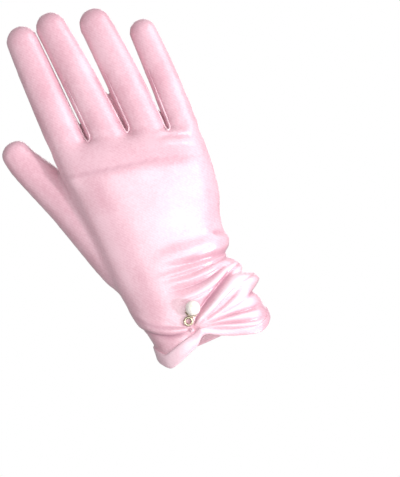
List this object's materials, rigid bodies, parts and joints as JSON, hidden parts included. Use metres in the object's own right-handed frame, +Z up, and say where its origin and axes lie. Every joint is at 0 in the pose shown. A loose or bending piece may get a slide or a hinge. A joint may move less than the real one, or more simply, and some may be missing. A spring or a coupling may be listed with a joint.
{
  "type": "wrist length dress glove",
  "caption": "Satin dress glove for the right hand, with a cuff gathered at the wrist under a pearl drop, open and hollow as when worn.",
  "frame": {"origin": "middle of the wrist opening, where the forearm enters the glove", "axes": "+Z up the hand to the fingertips, +X towards the little finger, the back of the hand faces -Y and the palm +Y"},
  "size_m": [0.1184, 0.0514, 0.2275],
  "materials": {
    "satin": "pink stretch satin with a fine diagonal weave",
    "thread": "pink sewing thread",
    "drop_metal": "polished pale gold",
    "pearl": "glossy cream pearl"
  },
  "bodies": {
    "root": {"hand_shell": "satin", "finger_index": "satin", "finger_middle": "satin", "finger_ring": "satin", "finger_little": "satin", "thumb_shell": "satin", "fourchette_index_middle": "satin", "fourchette_middle_ring": "satin", "fourchette_ring_little": "satin", "hem_band": "satin", "gather_tack": "thread", "jump_ring": "drop_metal", "pearl_cap": "drop_metal", "pearl": "pearl"}
  },
  "joints": []
}
